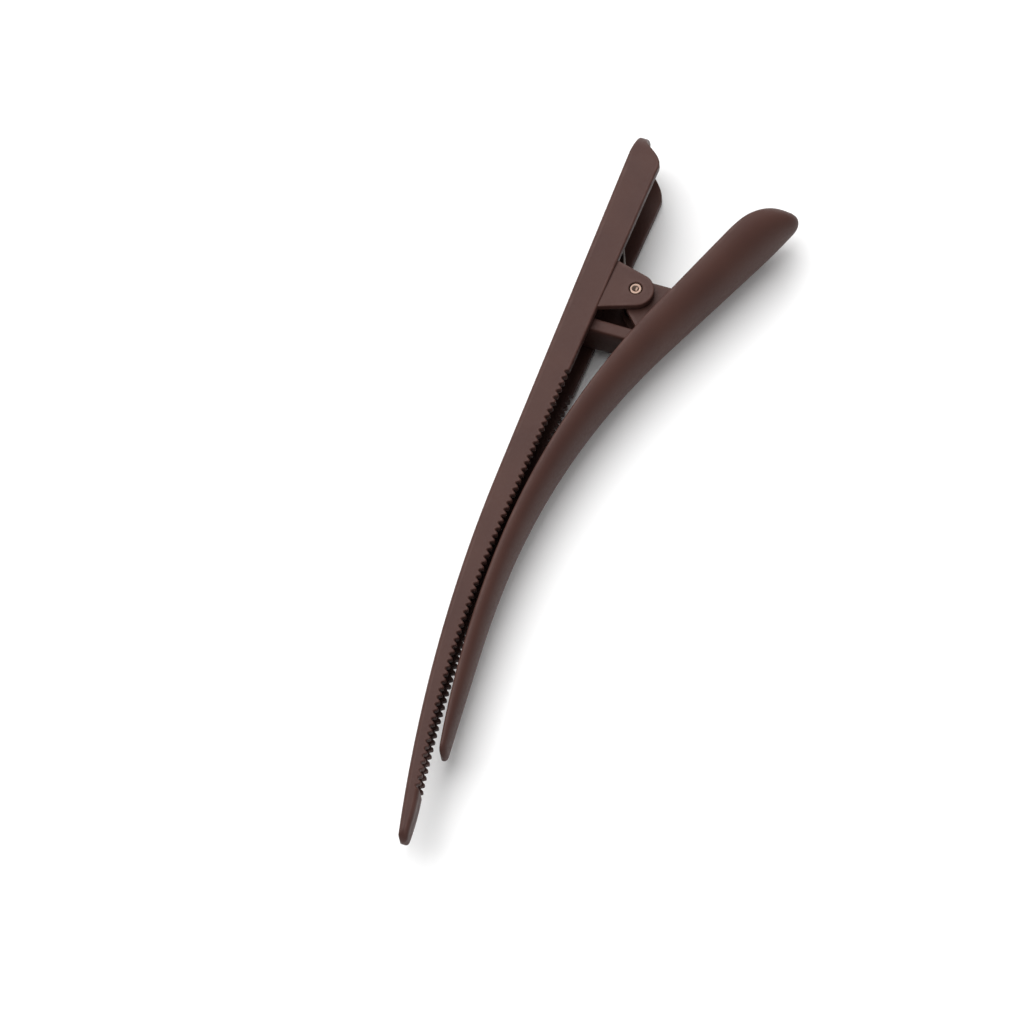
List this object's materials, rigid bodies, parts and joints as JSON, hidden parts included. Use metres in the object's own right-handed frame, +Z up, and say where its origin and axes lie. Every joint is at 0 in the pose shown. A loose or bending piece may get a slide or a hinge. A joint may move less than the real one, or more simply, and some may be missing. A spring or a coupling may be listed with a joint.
{
  "type": "sectioning clip",
  "caption": "Long hair sectioning clip with a toothed channel arm, a curved shell arm, a cross pin and a torsion spring that keeps the jaws shut.",
  "frame": {"origin": "under the middle of the clip as it lies on its side", "axes": "+X from the handles to the jaw tips, +Y from the long toothed arm to the short curved arm, +Z up along the hinge pin"},
  "size_m": [0.1228, 0.0286, 0.0118],
  "materials": {
    "arm_plastic": "matte",
    "pin_steel": "satin",
    "spring_steel": "satin"
  },
  "bodies": {
    "long_arm_body": {"long_arm": "arm_plastic", "hinge_pin": "pin_steel", "torsion_spring": "spring_steel"},
    "short_arm_body": {"short_arm": "arm_plastic"}
  },
  "joints": [
    {"name": "jaw_hinge", "type": "hinge", "parent": "long_arm_body", "child": "short_arm_body", "pos_m": [-0.03322, -0.00473, 0.00591], "axis": [0, 0, 1], "range_deg": [0, 38], "stiffness_Nm_per_rad": 0.06, "springref_deg": -51.57, "deforming": ["torsion_spring"]}
  ]
}
